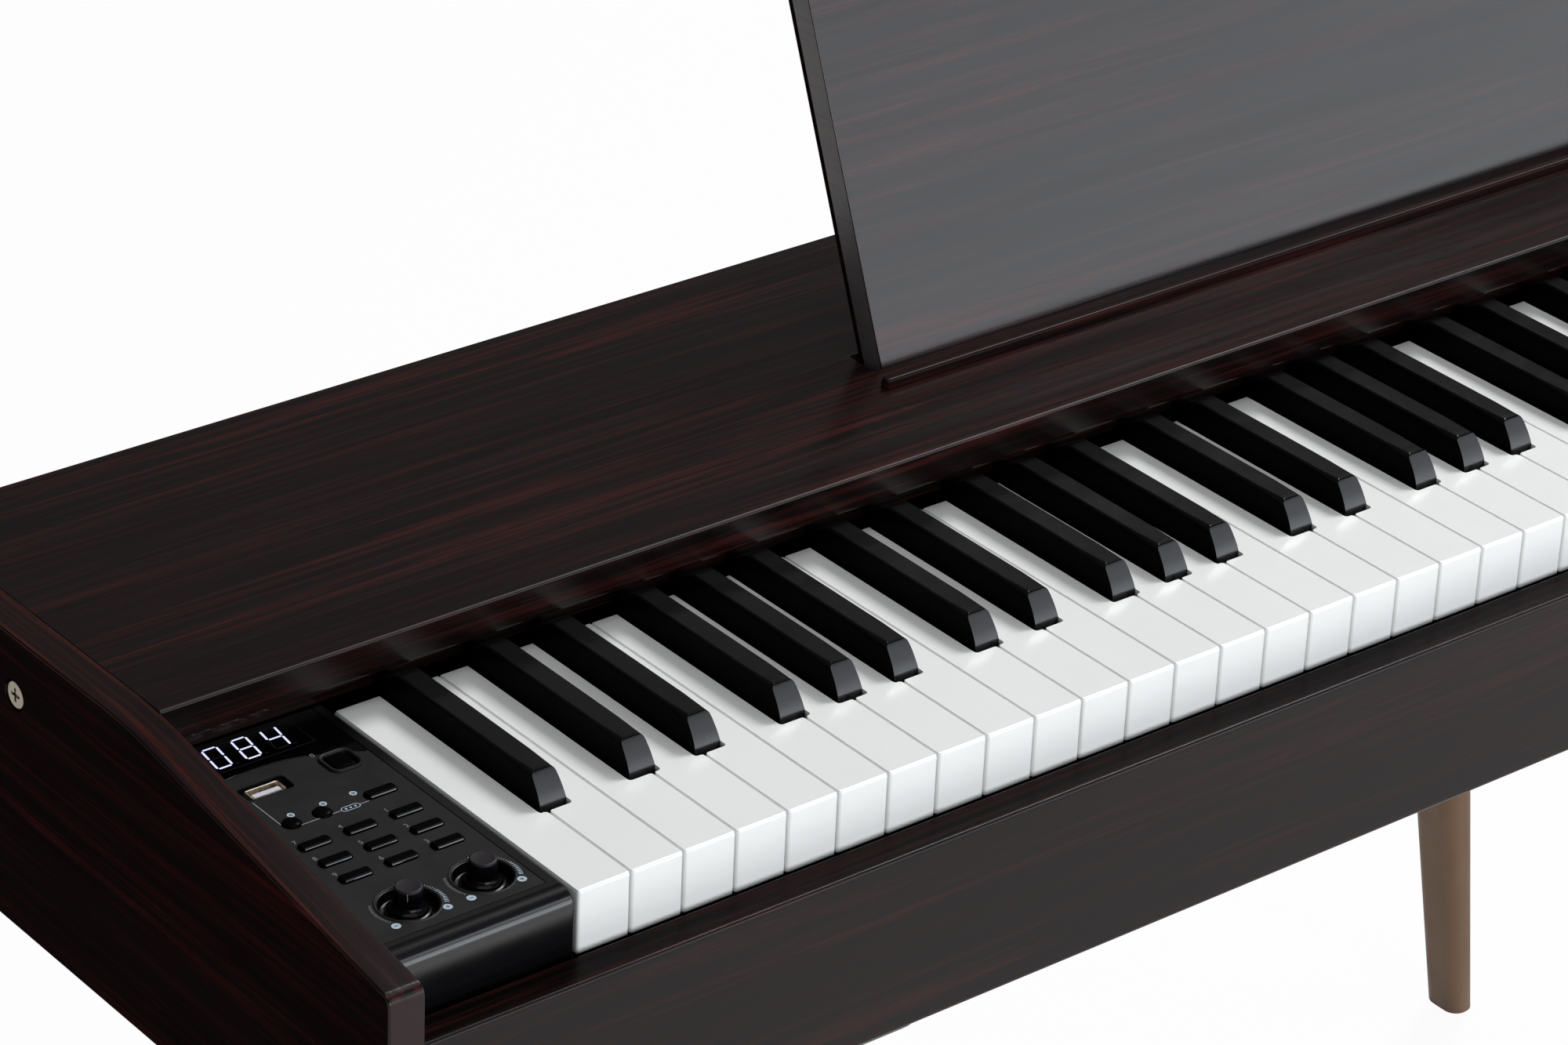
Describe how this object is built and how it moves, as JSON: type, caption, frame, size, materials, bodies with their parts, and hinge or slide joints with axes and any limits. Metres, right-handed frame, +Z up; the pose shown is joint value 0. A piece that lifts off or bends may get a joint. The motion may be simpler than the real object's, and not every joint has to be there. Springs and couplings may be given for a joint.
{
  "type": "digital piano",
  "caption": "Full-size digital piano: slim wood-look case on splayed legs, hinged keys, a left-hand control panel with buttons and knobs, and a lift-out music rest.",
  "frame": {"origin": "on the floor, under the middle of the case", "axes": "+X along the keyboard from the low notes to the high notes, +Y from the player to the back, +Z up"},
  "size_m": [1.408, 0.597, 0.8498],
  "materials": {
    "case_foil": "satin dark rosewood foil on board",
    "gloss_fascia": "high-gloss dark rosewood",
    "leg_lacquer": "satin taupe lacquer",
    "nickel_steel": "nickel plated",
    "dark_steel": "satin dark grey paint",
    "white_key_plastic": "smooth white, semi-gloss",
    "black_key_plastic": "fine satin black",
    "housing_plastic": "moulded black, semi-gloss",
    "plate_plastic": "matte charcoal",
    "window_plastic": "high-gloss black",
    "button_plastic": "moulded black, semi-gloss",
    "knob_plastic": "moulded black, glossy skirt",
    "socket_plastic": "matte black",
    "circuit_board": "green solder mask"
  },
  "bodies": {
    "case": {"left_side_panel": "case_foil", "right_side_panel": "case_foil", "left_cam_bolt": "nickel_steel", "right_cam_bolt": "nickel_steel", "lid": "case_foil", "front_rail": "case_foil", "bottom_board": "case_foil", "back_panel": "case_foil", "fascia_board": "gloss_fascia", "page_ledge": "case_foil", "front_left_leg": "leg_lacquer", "front_right_leg": "leg_lacquer", "rear_left_leg": "leg_lacquer", "rear_right_leg": "leg_lacquer", "front_left_leg_plate": "dark_steel", "front_right_leg_plate": "dark_steel", "rear_left_leg_plate": "dark_steel", "rear_right_leg_plate": "dark_steel", "key_frame": "dark_steel", "control_housing": "housing_plastic", "right_end_block": "housing_plastic", "panel_plate": "plate_plastic", "display_window": "window_plastic", "panel_circuit_board": "circuit_board", "main_circuit_board": "circuit_board", "usb_socket": "nickel_steel", "left_speaker": "dark_steel", "right_speaker": "dark_steel", "power_inlet": "socket_plastic", "headphone_socket": "socket_plastic"},
    "music_rest": {"music_rest": "case_foil"},
    "white_keys_1": {"white_keys_1": "white_key_plastic"},
    "white_keys_2": {"white_keys_2": "white_key_plastic"},
    "white_keys_3": {"white_keys_3": "white_key_plastic"},
    "white_keys_4": {"white_keys_4": "white_key_plastic"},
    "white_keys_5": {"white_keys_5": "white_key_plastic"},
    "white_keys_6": {"white_keys_6": "white_key_plastic"},
    "white_keys_7": {"white_keys_7": "white_key_plastic"},
    "black_keys_1": {"black_keys_1": "black_key_plastic"},
    "black_keys_2": {"black_keys_2": "black_key_plastic"},
    "black_keys_3": {"black_keys_3": "black_key_plastic"},
    "black_keys_4": {"black_keys_4": "black_key_plastic"},
    "black_keys_5": {"black_keys_5": "black_key_plastic"},
    "black_keys_6": {"black_keys_6": "black_key_plastic"},
    "black_keys_7": {"black_keys_7": "black_key_plastic"},
    "menu_button": {"menu_button": "button_plastic"},
    "layer_button": {"layer_button": "button_plastic"},
    "split_button": {"split_button": "button_plastic"},
    "song_button": {"song_button": "button_plastic"},
    "style_button": {"style_button": "button_plastic"},
    "tone_button": {"tone_button": "button_plastic"},
    "response_button": {"response_button": "button_plastic"},
    "transpose_button": {"transpose_button": "button_plastic"},
    "start_button": {"start_button": "button_plastic"},
    "play_button": {"play_button": "button_plastic"},
    "next_button": {"next_button": "button_plastic"},
    "previous_button": {"previous_button": "button_plastic"},
    "power_button": {"power_button": "button_plastic"},
    "select_knob": {"select_knob": "knob_plastic"},
    "volume_knob": {"volume_knob": "knob_plastic"}
  },
  "joints": [
    {"name": "music_rest_lift", "type": "slide", "parent": "case", "child": "music_rest", "axis": [0, 0.3746, 0.9272], "range_m": [0, 0.02]},
    {"name": "white_keys_1_press", "type": "hinge", "parent": "case", "child": "white_keys_1", "pos_m": [-0.505, 0.062, 0.6425], "axis": [1, 0, 0], "range_deg": [0, 2.6], "stiffness_Nm_per_rad": 6, "springref_deg": -20.05},
    {"name": "white_keys_2_press", "type": "hinge", "parent": "case", "child": "white_keys_2", "pos_m": [-0.317, 0.062, 0.6425], "axis": [1, 0, 0], "range_deg": [0, 2.6], "stiffness_Nm_per_rad": 6, "springref_deg": -20.05},
    {"name": "white_keys_3_press", "type": "hinge", "parent": "case", "child": "white_keys_3", "pos_m": [-0.153, 0.062, 0.6425], "axis": [1, 0, 0], "range_deg": [0, 2.6], "stiffness_Nm_per_rad": 6, "springref_deg": -20.05},
    {"name": "white_keys_4_press", "type": "hinge", "parent": "case", "child": "white_keys_4", "pos_m": [0.012, 0.062, 0.6425], "axis": [1, 0, 0], "range_deg": [0, 2.6], "stiffness_Nm_per_rad": 6, "springref_deg": -20.05},
    {"name": "white_keys_5_press", "type": "hinge", "parent": "case", "child": "white_keys_5", "pos_m": [0.176, 0.062, 0.6425], "axis": [1, 0, 0], "range_deg": [0, 2.6], "stiffness_Nm_per_rad": 6, "springref_deg": -20.05},
    {"name": "white_keys_6_press", "type": "hinge", "parent": "case", "child": "white_keys_6", "pos_m": [0.341, 0.062, 0.6425], "axis": [1, 0, 0], "range_deg": [0, 2.6], "stiffness_Nm_per_rad": 6, "springref_deg": -20.05},
    {"name": "white_keys_7_press", "type": "hinge", "parent": "case", "child": "white_keys_7", "pos_m": [0.517, 0.062, 0.6425], "axis": [1, 0, 0], "range_deg": [0, 2.6], "stiffness_Nm_per_rad": 6, "springref_deg": -20.05},
    {"name": "black_keys_1_press", "type": "hinge", "parent": "case", "child": "black_keys_1", "pos_m": [-0.5015, 0.062, 0.627], "axis": [1, 0, 0], "range_deg": [0, 2.6], "stiffness_Nm_per_rad": 2.5, "springref_deg": -20.05},
    {"name": "black_keys_2_press", "type": "hinge", "parent": "case", "child": "black_keys_2", "pos_m": [-0.317, 0.062, 0.627], "axis": [1, 0, 0], "range_deg": [0, 2.6], "stiffness_Nm_per_rad": 2.5, "springref_deg": -20.05},
    {"name": "black_keys_3_press", "type": "hinge", "parent": "case", "child": "black_keys_3", "pos_m": [-0.1525, 0.062, 0.627], "axis": [1, 0, 0], "range_deg": [0, 2.6], "stiffness_Nm_per_rad": 2.5, "springref_deg": -20.05},
    {"name": "black_keys_4_press", "type": "hinge", "parent": "case", "child": "black_keys_4", "pos_m": [0.012, 0.062, 0.627], "axis": [1, 0, 0], "range_deg": [0, 2.6], "stiffness_Nm_per_rad": 2.5, "springref_deg": -20.05},
    {"name": "black_keys_5_press", "type": "hinge", "parent": "case", "child": "black_keys_5", "pos_m": [0.1765, 0.062, 0.627], "axis": [1, 0, 0], "range_deg": [0, 2.6], "stiffness_Nm_per_rad": 2.5, "springref_deg": -20.05},
    {"name": "black_keys_6_press", "type": "hinge", "parent": "case", "child": "black_keys_6", "pos_m": [0.341, 0.062, 0.627], "axis": [1, 0, 0], "range_deg": [0, 2.6], "stiffness_Nm_per_rad": 2.5, "springref_deg": -20.05},
    {"name": "black_keys_7_press", "type": "hinge", "parent": "case", "child": "black_keys_7", "pos_m": [0.5055, 0.062, 0.627], "axis": [1, 0, 0], "range_deg": [0, 2.6], "stiffness_Nm_per_rad": 2.5, "springref_deg": -20.05},
    {"name": "menu_press", "type": "slide", "parent": "case", "child": "menu_button", "axis": [0, 0, -1], "range_m": [0, 0.0008], "stiffness_N_per_m": 600, "springref_m": -0.001},
    {"name": "layer_press", "type": "slide", "parent": "case", "child": "layer_button", "axis": [0, 0, -1], "range_m": [0, 0.0008], "stiffness_N_per_m": 600, "springref_m": -0.001},
    {"name": "split_press", "type": "slide", "parent": "case", "child": "split_button", "axis": [0, 0, -1], "range_m": [0, 0.0008], "stiffness_N_per_m": 600, "springref_m": -0.001},
    {"name": "song_press", "type": "slide", "parent": "case", "child": "song_button", "axis": [0, 0, -1], "range_m": [0, 0.0008], "stiffness_N_per_m": 600, "springref_m": -0.001},
    {"name": "style_press", "type": "slide", "parent": "case", "child": "style_button", "axis": [0, 0, -1], "range_m": [0, 0.0008], "stiffness_N_per_m": 600, "springref_m": -0.001},
    {"name": "tone_press", "type": "slide", "parent": "case", "child": "tone_button", "axis": [0, 0, -1], "range_m": [0, 0.0008], "stiffness_N_per_m": 600, "springref_m": -0.001},
    {"name": "response_press", "type": "slide", "parent": "case", "child": "response_button", "axis": [0, 0, -1], "range_m": [0, 0.0008], "stiffness_N_per_m": 600, "springref_m": -0.001},
    {"name": "transpose_press", "type": "slide", "parent": "case", "child": "transpose_button", "axis": [0, 0, -1], "range_m": [0, 0.0008], "stiffness_N_per_m": 600, "springref_m": -0.001},
    {"name": "start_press", "type": "slide", "parent": "case", "child": "start_button", "axis": [0, 0, -1], "range_m": [0, 0.0008], "stiffness_N_per_m": 600, "springref_m": -0.001},
    {"name": "play_press", "type": "slide", "parent": "case", "child": "play_button", "axis": [0, 0, -1], "range_m": [0, 0.0008], "stiffness_N_per_m": 600, "springref_m": -0.001},
    {"name": "next_press", "type": "slide", "parent": "case", "child": "next_button", "axis": [0, 0, -1], "range_m": [0, 0.0008], "stiffness_N_per_m": 600, "springref_m": -0.001},
    {"name": "previous_press", "type": "slide", "parent": "case", "child": "previous_button", "axis": [0, 0, -1], "range_m": [0, 0.0008], "stiffness_N_per_m": 600, "springref_m": -0.001},
    {"name": "power_press", "type": "slide", "parent": "case", "child": "power_button", "axis": [0, 0, -1], "range_m": [0, 0.0008], "stiffness_N_per_m": 600, "springref_m": -0.001},
    {"name": "select_turn", "type": "hinge", "parent": "case", "child": "select_knob", "pos_m": [-0.6325, -0.126, 0.654], "axis": [0, 0, 1], "continuous": true},
    {"name": "volume_turn", "type": "hinge", "parent": "case", "child": "volume_knob", "pos_m": [-0.6642, -0.126, 0.654], "axis": [0, 0, 1], "range_deg": [-150, 150]}
  ]
}
